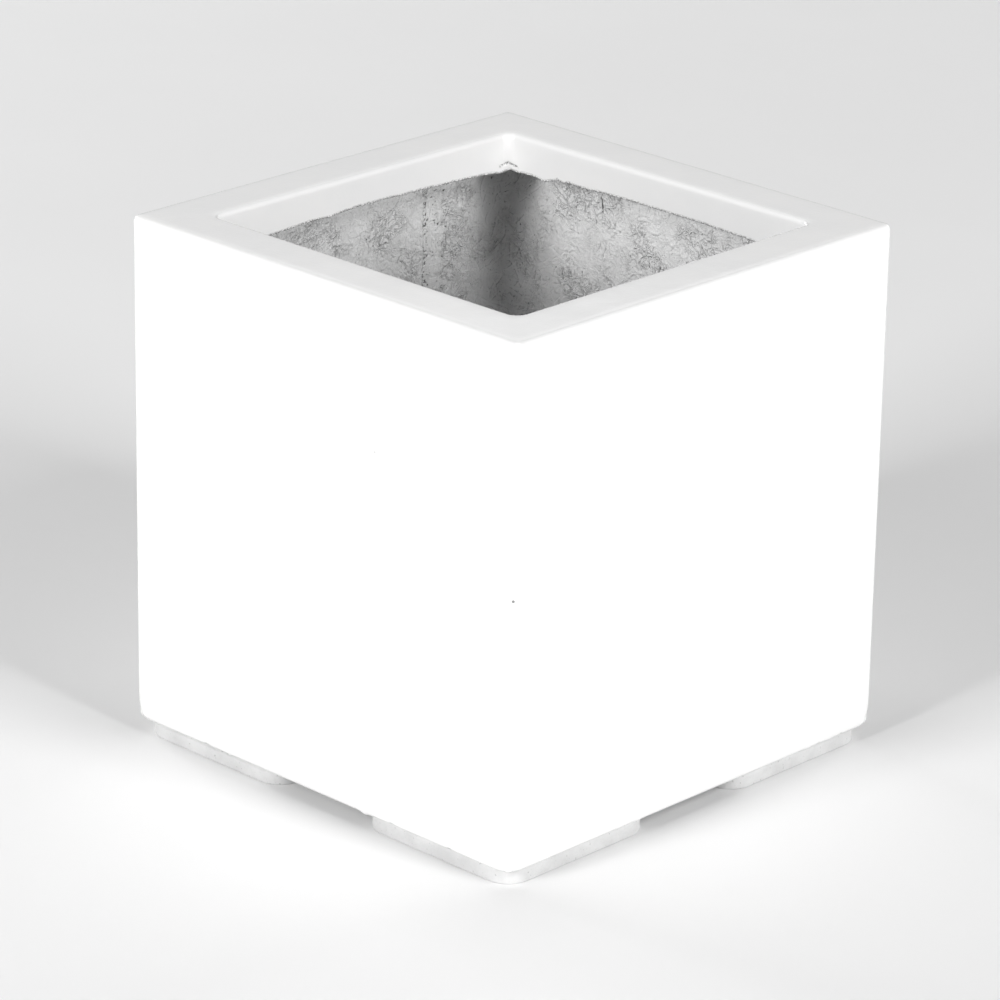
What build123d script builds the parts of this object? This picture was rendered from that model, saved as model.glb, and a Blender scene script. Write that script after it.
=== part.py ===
from build123d import *
import os

# Open-topped cube in glass-fibre laminate, millimetres, +Z up.
# The origin is at the middle of the footprint, on the ground under the foot pads.
# Front is -Y, right is +X. "Inset" is a distance in from the outer wall faces.

# ---- driving dimensions ----
width = 400.0  # outside, in X
depth = 400.0  # outside, in Y
body_height = 405.0  # lower edge of the skin to the top of the rim

skin = 1.0  # gelcoat skin
wall_mat = 4.0  # laminate behind the walls
rim_mat = 3.0  # laminate under the rim
lip_mat = 2.5  # laminate behind the lip
corner_mat = 1.2  # strips up the inner corners, and the tape round the floor
base_mat = 5.0  # floor panel above the skin's bottom return

rim_width = 44.0  # outer face to the mouth
lip_depth = 32.0  # top of the rim to the lower edge of the lip
lip_mat_short = 8.0  # the laminate stops this far above the lip's lower edge
bottom_return = 12.0  # how far the skin turns in under the walls

upright_radius = 5.5  # upright outer edges
lower_radius = 5.0  # lower outer edge
top_radius = 4.5  # upper outer edge
mouth_radius = 8.0  # corners of the mouth, in plan
roll_radius = 4.0  # edge between rim and lip
bottom_return_radius = 4.0  # corners of the opening under the floor panel
wall_corner_radius = 10.0  # inner corners of the wall laminate, in plan
mat_corner_radius = 15.0  # inner corners of the corner mats, in plan

corner_mat_wing = 94.0  # width of a corner mat on each wall, from the wall's inner face
tape_height = 30.0  # how far the tape runs up the walls
tape_width = 34.0  # how far the tape runs in over the floor
tape_fillet = 12.0  # resin fillet between floor and wall

foot_height = 12.0
foot_inset = 4.0
channel_width = 88.0  # between the foot pads, each way
foot_corner_radius = 20.0  # in plan
foot_edge_radius = 1.0  # lower edge

drain_radius = 11.0  # hole in the floor
bung_clearance = 0.05  # radial, bung in its hole
bung_flange_radius = 18.0
bung_flange_height = 4.0
bung_flange_edge = 1.2
bung_reach = 5.0  # bung below the floor's underside
bung_nose_chamfer = 1.5
bung_grip_radius = 6.0  # finger grip on the flange
bung_grip_height = 9.0
bung_grip_edge = 2.0

# ---- levels ----
skin_bottom = foot_height
top = skin_bottom + body_height
mat_bottom = skin_bottom + skin
floor_top = mat_bottom + base_mat
tape_top = floor_top + tape_height
rim_mat_bottom = top - skin - rim_mat
lip_bottom = top - lip_depth
lip_mat_bottom = lip_bottom + lip_mat_short

# ---- insets ----
wall_face = skin + wall_mat
corner_face = wall_face + corner_mat
lip_back = rim_width - skin
lip_mat_back = lip_back - lip_mat

SIDES = ["front", "right", "back", "left"]
CORNERS = [("front_left", -1, -1), ("front_right", 1, -1), ("back_right", 1, 1), ("back_left", -1, 1)]


def plan(z, inset, radius):
    """The footprint at height z, moved in by inset, with rounded corners."""
    with BuildSketch(Plane.XY.offset(z)) as outline:
        RectangleRounded(width - 2 * inset, depth - 2 * inset, radius)
    return outline.sketch


def rounded_block(inset):
    """The body's outside moved in by inset, with rounded upright, lower and upper edges."""
    bottom = skin_bottom + inset
    height = body_height - 2 * inset
    with BuildPart() as block:
        extrude(plan(bottom, inset, upright_radius - inset), amount=height)
        fillet(block.faces().sort_by(Axis.Z)[0].edges(), lower_radius - inset)
        fillet(block.faces().sort_by(Axis.Z)[-1].edges(), top_radius - inset)
    return block.part


def rolled_ring(inset):
    """The rounded block with a mouth right through it, whose upper edge is rolled over."""
    with BuildPart() as ring:
        add(rounded_block(inset))
        extrude(
            plan(skin_bottom, rim_width - inset, mouth_radius + inset),
            amount=body_height,
            mode=Mode.SUBTRACT,
        )
        mouth_edges = ring.faces().sort_by(Axis.Z)[-1].inner_wires()[0].edges()
        fillet(mouth_edges, roll_radius - inset)
    return ring.part


def side_wedge(side):
    """Everything that belongs to one side: a triangle from the middle, mitred at the corners."""
    far_x = width
    far_y = depth
    corners = [(-far_x, -far_y), (far_x, -far_y), (far_x, far_y), (-far_x, far_y)]
    first = SIDES.index(side)
    with BuildPart() as wedge:
        with BuildSketch(Plane.XY):
            Polygon((0, 0), corners[first], corners[(first + 1) % 4], align=None)
        extrude(amount=top + foot_height)
    return wedge.part


def write(piece, name):
    piece.part.label = name
    export_step(piece.part, f"parts/{name}.step")


os.makedirs("parts", exist_ok=True)

# ---- gelcoat skin: walls, rolled bottom edge, rim and lip in one ----
behind_skin = rolled_ring(skin)
with BuildPart() as below_lip:
    add(rounded_block(skin))
    extrude(plan(lip_bottom, 0, upright_radius), amount=lip_depth, mode=Mode.SUBTRACT)

with BuildPart() as gelcoat_skin:
    add(rolled_ring(0))
    add(behind_skin, mode=Mode.SUBTRACT)
    add(below_lip.part, mode=Mode.SUBTRACT)
    extrude(plan(skin_bottom, bottom_return, bottom_return_radius), amount=skin, mode=Mode.SUBTRACT)
write(gelcoat_skin, "gelcoat_skin")

# ---- wall laminate: a lining behind the skin, cut at the corners into four panels ----
with BuildPart() as wall_lining:
    add(rounded_block(skin))
    extrude(plan(rim_mat_bottom, 0, upright_radius), amount=skin + rim_mat, mode=Mode.SUBTRACT)
    extrude(plan(mat_bottom, wall_face, wall_corner_radius), amount=body_height, mode=Mode.SUBTRACT)

# ---- rim laminate: a plate under the rim with a leg behind the lip ----
with BuildPart() as rim_lining:
    add(behind_skin)
    extrude(plan(mat_bottom, 0, upright_radius), amount=lip_mat_bottom - mat_bottom, mode=Mode.SUBTRACT)
    with BuildSketch(Plane.XY.offset(lip_mat_bottom)):
        RectangleRounded(width, depth, upright_radius)
        RectangleRounded(
            width - 2 * lip_mat_back,
            depth - 2 * lip_mat_back,
            mouth_radius + skin + lip_mat,
            mode=Mode.SUBTRACT,
        )
    extrude(amount=rim_mat_bottom - lip_mat_bottom, mode=Mode.SUBTRACT)

# ---- tape round the floor: up the walls and in over the floor, with a resin fillet ----
with BuildPart() as tape_hollow:
    extrude(plan(floor_top + corner_mat, corner_face, mat_corner_radius), amount=tape_height)
    fillet(tape_hollow.faces().sort_by(Axis.Z)[0].edges(), tape_fillet)
with BuildPart() as tape_ring:
    extrude(plan(floor_top, wall_face, wall_corner_radius), amount=tape_height)
    add(tape_hollow.part, mode=Mode.SUBTRACT)
    extrude(
        plan(floor_top, wall_face + tape_width, mat_corner_radius), amount=tape_height, mode=Mode.SUBTRACT
    )

for side in SIDES:
    wedge = side_wedge(side)
    for lining, name in [
        (wall_lining, "wall_laminate"),
        (rim_lining, "rim_laminate"),
        (tape_ring, "base_tape"),
    ]:
        with BuildPart() as side_piece:
            add(lining.part)
            add(wedge, mode=Mode.INTERSECT)
        write(side_piece, f"{name}_{side}")

# ---- corner mats: an L up each inner corner, from the tape to the rim laminate ----
with BuildPart() as corner_lining:
    with BuildSketch(Plane.XY.offset(tape_top)):
        RectangleRounded(width - 2 * wall_face, depth - 2 * wall_face, wall_corner_radius)
        RectangleRounded(
            width - 2 * corner_face, depth - 2 * corner_face, mat_corner_radius, mode=Mode.SUBTRACT
        )
    extrude(amount=rim_mat_bottom - tape_top)

for name, x_sign, y_sign in CORNERS:
    with BuildPart() as corner_piece:
        add(corner_lining.part)
        with BuildSketch(Plane.XY.offset(tape_top)):
            with Locations((x_sign * (width / 2 - wall_face), y_sign * (depth / 2 - wall_face))):
                Rectangle(2 * corner_mat_wing, 2 * corner_mat_wing)
        extrude(amount=rim_mat_bottom - tape_top, mode=Mode.INTERSECT)
    write(corner_piece, f"corner_mat_{name}")

# ---- floor panel: sits on the skin's bottom return and fills the opening inside it ----
# It follows the skin's rounded lower edge where that reaches in past the wall laminate.
with BuildPart() as base_panel:
    extrude(plan(mat_bottom, wall_face, wall_corner_radius), amount=base_mat)
    add(rounded_block(skin), mode=Mode.INTERSECT)
    extrude(plan(skin_bottom, bottom_return, bottom_return_radius), amount=skin)
    with Locations((0, 0, floor_top)):
        Hole(drain_radius)
write(base_panel, "base_panel")

# ---- foot pads: one under each corner, with a cross-shaped channel between them ----
foot_x = (width - 2 * foot_inset - channel_width) / 2
foot_y = (depth - 2 * foot_inset - channel_width) / 2
for name, x_sign, y_sign in CORNERS:
    with BuildPart() as foot_pad:
        with BuildSketch(Plane.XY):
            with Locations((x_sign * (channel_width + foot_x) / 2, y_sign * (channel_width + foot_y) / 2)):
                RectangleRounded(foot_x, foot_y, foot_corner_radius)
        extrude(amount=foot_height)
        fillet(foot_pad.faces().sort_by(Axis.Z)[0].edges(), foot_edge_radius)
    write(foot_pad, f"foot_pad_{name}")

# ---- drain bung: a plug through the floor, a flange on the floor and a grip on top ----
bung_bottom = skin_bottom - bung_reach
with BuildPart() as drain_bung:
    with BuildSketch(Plane.XY.offset(bung_bottom)):
        Circle(drain_radius - bung_clearance)
    extrude(amount=floor_top - bung_bottom)
    chamfer(drain_bung.faces().sort_by(Axis.Z)[0].edges(), bung_nose_chamfer)
    with BuildSketch(Plane.XY.offset(floor_top)):
        Circle(bung_flange_radius)
    extrude(amount=bung_flange_height)
    fillet(drain_bung.faces().sort_by(Axis.Z)[-1].edges(), bung_flange_edge)
    with BuildSketch(Plane.XY.offset(floor_top + bung_flange_height)):
        Circle(bung_grip_radius)
    extrude(amount=bung_grip_height)
    fillet(drain_bung.faces().sort_by(Axis.Z)[-1].edges(), bung_grip_edge)
write(drain_bung, "drain_bung")
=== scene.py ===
import math

import bpy
import numpy as np
from mathutils import Matrix, Vector


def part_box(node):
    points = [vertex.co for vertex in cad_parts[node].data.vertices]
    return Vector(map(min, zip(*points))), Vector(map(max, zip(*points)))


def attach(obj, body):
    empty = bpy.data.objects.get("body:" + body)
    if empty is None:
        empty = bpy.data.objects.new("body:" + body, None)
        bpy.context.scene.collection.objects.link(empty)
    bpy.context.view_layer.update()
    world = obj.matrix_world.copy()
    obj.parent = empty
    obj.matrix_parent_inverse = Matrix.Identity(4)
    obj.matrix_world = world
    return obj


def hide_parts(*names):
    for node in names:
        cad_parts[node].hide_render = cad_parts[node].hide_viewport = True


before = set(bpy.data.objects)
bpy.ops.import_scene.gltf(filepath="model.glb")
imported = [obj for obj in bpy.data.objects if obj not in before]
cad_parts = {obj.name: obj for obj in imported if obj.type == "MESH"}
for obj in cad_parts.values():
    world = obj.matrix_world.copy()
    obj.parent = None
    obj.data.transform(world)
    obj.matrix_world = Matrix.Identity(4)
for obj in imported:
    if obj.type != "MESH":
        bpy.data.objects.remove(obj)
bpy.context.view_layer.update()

# Shapes are worked out in millimetres in the row frame and written to meshes in metres.
MM = 0.001


def box_mm(node):
    """Lowest and highest corner of a CAD node, in millimetres."""
    low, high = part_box(node)
    return np.array(low) / MM, np.array(high) / MM


# ---- sizes: levels and outlines from the CAD boxes, thicknesses and radii as in the part ----
skin_low, skin_high = box_mm("gelcoat_skin")
bung_low, bung_high = box_mm("drain_bung")

HALF = (skin_high[0], skin_high[1])  # half the outside width and depth
SKIN_BOTTOM = skin_low[2]
TOP = skin_high[2]
FLOOR_TOP = box_mm("base_panel")[1][2]
TAPE_TOP = box_mm("base_tape_front")[1][2]
WALL_TOP = box_mm("wall_laminate_front")[1][2]

SKIN = 1.0
WALL_MAT = 4.0
CORNER_MAT = 1.2
WALL_FACE = SKIN + WALL_MAT
MAT_FACE = WALL_FACE + CORNER_MAT
RIM_WIDTH = 44.0
LIP_DEPTH = 32.0
BOTTOM_RETURN = 12.0
UPRIGHT_RADIUS = 5.5
LOWER_RADIUS = 5.0
TOP_RADIUS = 4.5
MOUTH_RADIUS = 8.0
ROLL_RADIUS = 4.0
RETURN_RADIUS = 4.0
WALL_CORNER_RADIUS = 10.0
MAT_CORNER_RADIUS = 15.0
CORNER_WING = 94.0
TAPE_WIDTH = 34.0
TAPE_FILLET = 12.0
DRAIN_RADIUS = 11.0
FOOT_CORNER_RADIUS = 20.0
FOOT_EDGE_RADIUS = 1.0
BUNG_FLANGE_HEIGHT = 4.0
BUNG_GRIP_RADIUS = 6.0
BUNG_CLEARANCE = 0.05

SIDES = ("front", "right", "back", "left")
CORNERS = ("front_right", "back_right", "back_left", "front_left")


# ---- noise ----
def lattice(ix, iy, iz, seed):
    """A repeatable number from 0 to 1 for each point of a whole-number grid."""
    h = (ix * 374761393 + iy * 668265263 + iz * 1440662683 + seed * 97531) & 0xFFFFFFFF
    h = ((h ^ (h >> 13)) * 1274126177) & 0xFFFFFFFF
    h = ((h ^ (h >> 15)) * 2246822519) & 0xFFFFFFFF
    return ((h ^ (h >> 16)) & 0xFFFFFF) / float(0xFFFFFF)


def noise(points, size, seed):
    """Smooth noise from -1 to 1 with features about size millimetres across."""
    p = points / size
    cell = np.floor(p).astype(np.int64)
    f = p - cell
    w = f * f * f * (f * (f * 6 - 15) + 10)
    total = 0
    for dx in (0, 1):
        for dy in (0, 1):
            for dz in (0, 1):
                weight = (
                    (w[..., 0] if dx else 1 - w[..., 0])
                    * (w[..., 1] if dy else 1 - w[..., 1])
                    * (w[..., 2] if dz else 1 - w[..., 2])
                )
                corner = (cell[..., 0] + dx, cell[..., 1] + dy, cell[..., 2] + dz)
                total = total + weight * lattice(*corner, seed)
    return total * 2 - 1


def layers(points, size, seed, count=3, gain=0.5):
    """Several sizes of noise, each half as large as the one before."""
    total, strength, sum_strength = 0, 1.0, 0.0
    for k in range(count):
        total = total + strength * noise(points, size / 2**k, seed + 17 * k)
        sum_strength += strength
        strength *= gain
    return total / sum_strength


def step(low, high, x):
    """A smooth step from 0 at low to 1 at high; low may be the larger of the two."""
    t = np.clip((x - low) / (high - low), 0, 1)
    return t * t * (3 - 2 * t)


# ---- outlines: rounded rectangles, walked anticlockwise from above ----
def to_world(side, a, b):
    """Side coordinates, a along the side and b outwards, to x and y."""
    return [(a, -b), (b, a), (-a, b), (-b, -a)][side]


def side_columns(straight, arc_count):
    """Columns along one side, mitre to mitre: (share of the straight part from -1 to 1, angle)."""
    arc = np.linspace(-math.pi / 4, 0, arc_count, endpoint=False)
    share = np.concatenate([np.full(arc_count, -1.0), straight, np.full(arc_count, 1.0)])
    angle = np.concatenate([arc, np.zeros(len(straight)), -arc[::-1]])
    return share, angle


def side_row(side, inset, radius, columns):
    """x, y and outward normal along one side of the outline that lies inset from the outside."""
    share, angle = columns
    along, out = (HALF[0], HALF[1]) if side % 2 == 0 else (HALF[1], HALF[0])
    a = share * (along - inset - radius) + radius * np.sin(angle)
    b = (out - inset - radius) + radius * np.cos(angle)
    x, y = to_world(side, a, b)
    nx, ny = to_world(side, np.sin(angle), np.cos(angle))
    return np.stack([x, y], -1), np.stack([nx, ny], -1), a


def ring_row(inset, radius, columns):
    """The same all round: four sides, with each mitre column once."""
    rows = [side_row(side, inset, radius, columns) for side in range(4)]
    return tuple(np.concatenate([row[k][:-1] for row in rows]) for k in range(3))


# ---- meshes ----
def grid_faces(rows, columns, closed_rows=False, closed_columns=False, start=0, flip=False):
    """The quads of a grid of points that are numbered row by row from start."""
    r = np.arange(rows if closed_rows else rows - 1)
    c = np.arange(columns if closed_columns else columns - 1)
    r, c = np.meshgrid(r, c, indexing="ij")
    r1, c1 = (r + 1) % rows, (c + 1) % columns
    quads = np.stack([r * columns + c, r * columns + c1, r1 * columns + c1, r1 * columns + c], -1)
    quads = quads.reshape(-1, 4) + start
    return quads[:, ::-1] if flip else quads


def make_piece(name, points, quads, polygons, material, body, nodes, attributes=None):
    """A mesh piece from points in millimetres, quads as an array and larger polygons as lists."""
    mesh = bpy.data.meshes.new(name)
    counts = np.concatenate([np.full(len(quads), 4), [len(p) for p in polygons]]).astype(np.int32)
    corners = np.concatenate([quads.ravel()] + [np.asarray(p) for p in polygons]).astype(np.int32)
    mesh.vertices.add(len(points))
    mesh.vertices.foreach_set("co", (points * MM).astype(np.float32).ravel())
    mesh.loops.add(len(corners))
    mesh.loops.foreach_set("vertex_index", corners)
    mesh.polygons.add(len(counts))
    loop_start = np.concatenate([[0], np.cumsum(counts)[:-1]]).astype(np.int32)
    mesh.polygons.foreach_set("loop_start", loop_start)
    smooth = np.ones(len(counts), bool)
    smooth[len(quads):] = False
    mesh.polygons.foreach_set("use_smooth", smooth)
    mesh.update(calc_edges=True)
    mesh.validate()
    for key, values in (attributes or {}).items():
        layer = mesh.attributes.new(key, "FLOAT", "POINT")
        layer.data.foreach_set("value", values.astype(np.float32).ravel())
    piece = bpy.data.objects.new(name, mesh)
    bpy.context.scene.collection.objects.link(piece)
    mesh.materials.append(material)
    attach(piece, body)
    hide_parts(*nodes)
    return piece


def sheet_solid(front, back):
    """A closed solid from a front and a back grid with as many rows: points, quads, end polygons.

    Both grids run the same way: across from left to right, and up or down in rows.
    """
    rows, columns = front.shape[:2]
    back_columns = back.shape[1]
    start = rows * columns
    points = np.concatenate([front.reshape(-1, 3), back.reshape(-1, 3)])
    quads = [grid_faces(rows, columns), grid_faces(rows, back_columns, start=start, flip=True)]
    r = np.arange(rows - 1)
    front_left, back_left = r * columns, start + r * back_columns
    left = [front_left, front_left + columns, back_left + back_columns, back_left]
    front_right, back_right = front_left + columns - 1, back_left + back_columns - 1
    right = [front_right, back_right, back_right + back_columns, front_right + columns]
    quads += [np.stack(left, -1), np.stack(right, -1)]
    low_front, low_back = list(range(columns)), [start + c for c in range(back_columns)]
    high_front = [(rows - 1) * columns + c for c in range(columns)]
    high_back = [start + (rows - 1) * back_columns + c for c in range(back_columns)]
    ends = [low_front[::-1] + low_back, high_front + high_back[::-1]]
    return points, np.concatenate(quads), ends


# ---- materials ----
class Nodes:
    """Short hand for building one material's node tree."""

    def __init__(self, name):
        self.material = bpy.data.materials.new(name)
        self.material.use_nodes = True
        self.tree = self.material.node_tree
        self.shader = self.tree.nodes["Principled BSDF"]
        self.place = self.add("ShaderNodeTexCoord").outputs["Object"]

    def add(self, kind, settings=None, **inputs):
        node = self.tree.nodes.new(kind)
        for key, value in (settings or {}).items():
            setattr(node, key, value)
        for key, value in inputs.items():
            self.put(node.inputs[key.replace("_", " ")], value)
        return node

    def put(self, socket, value):
        if isinstance(value, bpy.types.NodeSocket):
            self.tree.links.new(value, socket)
        else:
            socket.default_value = value

    def noise(self, scale, detail=3.0, roughness=0.5, distortion=0.0, place=None):
        node = self.add("ShaderNodeTexNoise", Scale=scale, Detail=detail, Roughness=roughness)
        node.inputs["Distortion"].default_value = distortion
        self.put(node.inputs["Vector"], place or self.place)
        return node.outputs["Fac"]

    def math(self, operation, a, b=0.0, clamp=False):
        node = self.add("ShaderNodeMath", {"operation": operation, "use_clamp": clamp})
        self.put(node.inputs[0], a)
        self.put(node.inputs[1], b)
        return node.outputs[0]

    def ramp(self, value, low, high, out_low=0.0, out_high=1.0):
        node = self.add("ShaderNodeMapRange", {"interpolation_type": "SMOOTHSTEP"})
        self.put(node.inputs["Value"], value)
        ends = {"From Min": low, "From Max": high, "To Min": out_low, "To Max": out_high}
        for key, number in ends.items():
            node.inputs[key].default_value = number
        return node.outputs["Result"]

    def mix(self, share, a, b):
        node = self.add("ShaderNodeMix", {"data_type": "RGBA"})
        self.put(node.inputs["Factor"], share)
        self.put(node.inputs[6], a)
        self.put(node.inputs[7], b)
        return node.outputs[2]

    def paint(self, colour, share, strength, value):
        """Lays a grey over a colour where share says, at most by strength."""
        return self.mix(self.math("MULTIPLY", share, strength), colour, grey(value))

    def moved(self, shift):
        node = self.add("ShaderNodeVectorMath", {"operation": "ADD"})
        self.put(node.inputs[0], self.place)
        self.put(node.inputs[1], shift)
        return node.outputs[0]

    def bump(self, height, distance, strength=1.0, under=None):
        node = self.add("ShaderNodeBump", Strength=strength, Distance=distance)
        self.put(node.inputs["Height"], height)
        if under is not None:
            self.put(node.inputs["Normal"], under)
        return node.outputs["Normal"]

    def attribute(self, name):
        return self.add("ShaderNodeAttribute", {"attribute_name": name}).outputs["Fac"]


def grey(value, warm=0.0):
    return (value * (1 + warm), value, value * (1 - warm), 1.0)


# small dark specks in the gelcoat: (place in millimetres, radius)
SPECKS = [
    ((198.4, -198.4, 225.0), 1.4),
    ((-157.5, -158.5, 411.0), 1.6),
    ((60.0, -200.0, 300.0), 0.5),
    ((-200.0, 40.0, 210.0), 0.9),
]


def gelcoat_material():
    """White gloss, faintly mottled, with orange peel; torn edges show dark broken laminate, and
    along the lip's lower edge the same dark is also painted shade under the lip.
    """
    n = Nodes("gelcoat")
    mottle = n.noise(14.0, 4.0)
    clean = n.mix(n.ramp(mottle, 0.3, 0.7), grey(0.815), grey(0.835, 0.004))
    specks = n.ramp(n.noise(2600.0, 2.0, 0.6), 0.30, 0.25)
    torn = n.attribute("torn")
    torn_edge_and_shade = n.math("MULTIPLY", torn, n.ramp(n.noise(800.0, 3.0), 0.38, 0.56))
    colour = n.mix(n.math("MULTIPLY", specks, 0.10), clean, grey(0.45))
    # dark broken laminate at tears, chips and the crack; at the lip's lower edge it is also painted
    # shade under the lip
    colour = n.mix(torn_edge_and_shade, colour, grey(0.22))
    for place, size in SPECKS:
        away = n.add("ShaderNodeVectorMath", {"operation": "DISTANCE"})
        n.put(away.inputs[0], n.place)
        away.inputs[1].default_value = [v * MM for v in place]
        speck = n.ramp(away.outputs["Value"], size * MM, 0.6 * size * MM)
        colour = n.mix(speck, colour, grey(0.22))
    n.put(n.shader.inputs["Base Color"], colour)
    n.put(n.shader.inputs["Roughness"], n.ramp(n.noise(60.0, 5.0), 0.3, 0.75, 0.09, 0.16))
    n.shader.inputs["IOR"].default_value = 1.5
    peel = n.bump(n.noise(420.0, 2.0), 0.00006)
    n.put(n.shader.inputs["Normal"], n.bump(n.noise(22.0, 3.0), 0.0006, 0.6, peel))
    return n.material


def strand_pattern(n):
    """Where glass strands show: thin lines between warped cells, in patches."""
    wobble = n.add("ShaderNodeTexNoise", Scale=60.0, Detail=3.0)
    n.put(wobble.inputs["Vector"], n.place)
    scaled = n.add("ShaderNodeVectorMath", {"operation": "SCALE"}, Scale=0.02)
    n.put(scaled.inputs[0], wobble.outputs["Color"])
    warped = n.moved(scaled.outputs[0])
    lines = []
    for scale in (95.0, 170.0):
        cells = n.add("ShaderNodeTexVoronoi", {"feature": "DISTANCE_TO_EDGE"}, Scale=scale)
        n.put(cells.inputs["Vector"], warped)
        lines.append(n.ramp(cells.outputs["Distance"], 0.0, 0.055, 1.0, 0.0))
    patches = n.ramp(n.noise(36.0, 2.0), 0.48, 0.62)
    return n.math("MULTIPLY", n.math("MAXIMUM", *lines), patches)


def crease_pattern(n):
    """Thin folds along the contour lines of noise: grooves with ridges beside them, in patches."""
    groove = ridge = 0.0
    for scale, shift in ((42.0, 0.0), (78.0, 1.7), (130.0, 3.1)):
        field = n.noise(scale, 2.5, 0.5, 0.7, n.moved((shift, shift, shift)))
        from_groove = n.math("ABSOLUTE", n.math("SUBTRACT", field, 0.490))
        from_ridge = n.math("ABSOLUTE", n.math("SUBTRACT", field, 0.522))
        groove = n.math("MAXIMUM", groove, n.ramp(from_groove, 0.020, 0.004))
        ridge = n.math("MAXIMUM", ridge, n.ramp(from_ridge, 0.022, 0.004))
    patches = n.ramp(n.noise(26.0, 3.0), 0.44, 0.60)
    return n.math("MULTIPLY", groove, patches), n.math("MULTIPLY", ridge, patches)


def laminate_material():
    """Grey chopped-strand laminate; the mesh says where to paint shade into its crevices and pits
    and where to paint highlight on its ridges.
    """
    n = Nodes("laminate")
    shade_and_highlight = n.attribute("shade_and_highlight")
    strand = strand_pattern(n)
    groove, ridge = crease_pattern(n)
    groove_shade = n.math("MULTIPLY", groove, n.ramp(n.noise(210.0, 2.0), 0.42, 0.62))
    pits = n.ramp(n.noise(560.0, 3.0, 0.7), 0.38, 0.31)
    pits = n.math("MULTIPLY", pits, n.ramp(n.noise(50.0, 2.0), 0.40, 0.60))
    colour = n.mix(n.ramp(n.noise(24.0, 5.0, 0.6), 0.3, 0.7), grey(0.78), grey(0.88))
    colour = n.paint(colour, strand, 0.24, 0.34)
    # painted shade in the crease grooves, and painted highlight on the ridges beside them
    colour = n.paint(colour, groove_shade, 0.50, 0.20)
    colour = n.paint(colour, ridge, 0.6, 0.95)
    colour = n.paint(colour, pits, 0.65, 0.17)
    # painted shade: crevices, pits and chips darkened to near black where the mesh's value is high
    colour = n.mix(n.ramp(shade_and_highlight, 0.10, 0.70), colour, grey(0.10))
    # painted highlight: ridges lightened where the mesh's value is negative
    colour = n.mix(n.ramp(shade_and_highlight, -0.05, -0.32, 0.0, 0.6), colour, grey(0.90))
    n.put(n.shader.inputs["Base Color"], colour)
    n.put(n.shader.inputs["Roughness"], n.ramp(n.noise(90.0, 4.0), 0.3, 0.7, 0.30, 0.55))
    folds = n.math("MULTIPLY", n.math("SUBTRACT", ridge, groove), 0.9)
    fine = n.math("ADD", n.noise(620.0, 4.0, 0.65), folds)
    crumpled = n.bump(n.noise(150.0, 4.0, 0.6, 1.2), 0.0026, 0.8)
    n.put(n.shader.inputs["Normal"], n.bump(fine, 0.0010, 0.8, crumpled))
    return n.material


def foot_material():
    """Matt grey filled resin with clouds and pits."""
    n = Nodes("foot_resin")
    cloud = n.noise(35.0, 5.0, 0.6)
    colour = n.mix(n.ramp(cloud, 0.3, 0.7), grey(0.57), grey(0.66))
    pits = n.ramp(n.noise(420.0, 3.0), 0.34, 0.28)
    colour = n.mix(n.math("MULTIPLY", pits, 0.6), colour, grey(0.25))
    n.put(n.shader.inputs["Base Color"], colour)
    n.put(n.shader.inputs["Roughness"], n.ramp(n.noise(120.0, 3.0), 0.3, 0.7, 0.5, 0.75))
    n.put(n.shader.inputs["Normal"], n.bump(n.noise(380.0, 4.0, 0.6), 0.0006, 0.7))
    return n.material


def rubber_material():
    """Black rubber, a little dusty."""
    n = Nodes("bung_rubber")
    colour = n.mix(n.ramp(n.noise(60.0, 4.0), 0.35, 0.7), grey(0.035), grey(0.06))
    n.put(n.shader.inputs["Base Color"], colour)
    n.put(n.shader.inputs["Roughness"], n.ramp(n.noise(200.0, 4.0), 0.3, 0.7, 0.5, 0.72))
    n.put(n.shader.inputs["Normal"], n.bump(n.noise(900.0, 3.0), 0.0002, 0.6))
    return n.material


gelcoat = gelcoat_material()
laminate = laminate_material()
foot_resin = foot_material()
bung_rubber = rubber_material()


# ---- gelcoat skin ----
SKIN_COLUMNS = side_columns(np.linspace(-1, 1, 224), 12)
SKIN_SIDE = np.repeat(np.arange(4), len(SKIN_COLUMNS[0]) - 1)  # which side each column is on

# the upright corners grow rounder towards the lower edge
LOWER_CORNER_RADIUS = 13.0
SOFT_CORNER_HEIGHT = 22.0

# chips and drips along the lower edge: (place along the side, half width, how far down, how dark)
EDGE_NICKS = {
    "front": [
        (50.0, 3.6, 1.5, 0.0), (79.0, 3.4, -0.9, 1.2), (139.0, 3.0, -0.8, 1.2),
        (-121.0, 3.2, -0.8, 1.2), (-96.0, 2.0, 0.7, 0.0),
    ],
    "right": [
        (128.0, 4.0, 0.6, 0.0), (140.0, 2.6, -0.5, 0.5), (152.0, 5.0, 0.6, 0.0),
        (166.0, 2.6, -0.6, 0.8), (-60.0, 3.0, 0.4, 0.0),
    ],
    "back": [(-130.0, 4.0, 0.8, 0.0), (20.0, 3.0, -0.7, 0.9)],
    "left": [(90.0, 3.5, -0.8, 1.0), (-35.0, 3.0, 0.9, 0.0)],
}

# the torn lower edge of the lip, below the rim: least at mid side, more towards the corners
LIP_DROP = 25.6
LIP_SAG = 5.4
LIP_CORNER_LIFT = 1.6

# (place along the side, half width, how much deeper the lip hangs there)
LIP_NICKS = {
    "front": [(-70.0, 4.0, 1.2), (55.0, 7.0, -1.0)],
    "right": [(30.0, 5.0, 1.0), (-90.0, 6.0, -1.2)],
    "back": [(118.0, 8.0, 2.6), (103.0, 2.0, -1.4), (96.0, 1.6, 0.9), (90.0, 3.0, -0.8)],
    "left": [(-148.0, 7.0, 1.4), (-94.0, 3.0, -0.7), (-60.0, 2.2, -0.5), (38.0, 12.0, 1.4)],
}

# the crack that has left a loose flake at the lip's back left corner
CRACK_DROP = 23.0
CRACK_SLOPE = 0.42
CRACK_REACH = 6.0
CRACK_DEPTH = 0.5


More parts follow.
